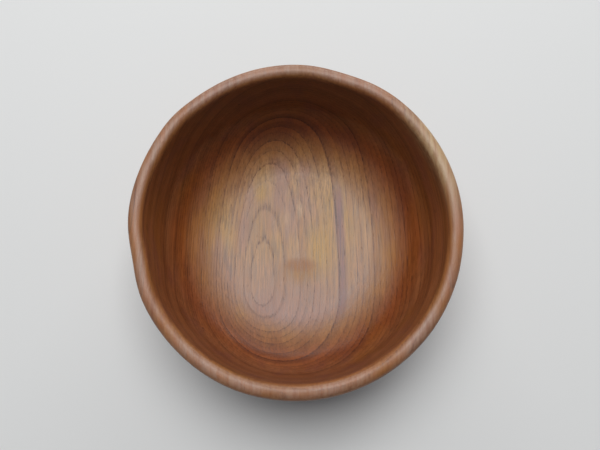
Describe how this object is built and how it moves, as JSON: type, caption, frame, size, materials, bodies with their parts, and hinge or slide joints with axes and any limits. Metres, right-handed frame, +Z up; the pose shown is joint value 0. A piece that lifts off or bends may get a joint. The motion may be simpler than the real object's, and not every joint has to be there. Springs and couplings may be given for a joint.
{
  "type": "wooden bowl",
  "caption": "Round one-piece wooden bowl with steep walls, a rounded lip and a flat foot, for serving or storing food.",
  "frame": {"origin": "centre of the foot, on the surface that the bowl stands on", "axes": "+Z up out of the bowl's mouth; Y runs along the wood's grain, where the rim is widest; X runs across the grain"},
  "size_m": [0.265, 0.27, 0.106],
  "materials": {
    "oiled_wood": "oiled satin"
  },
  "bodies": {
    "root": {"bowl_body": "oiled_wood"}
  },
  "joints": []
}
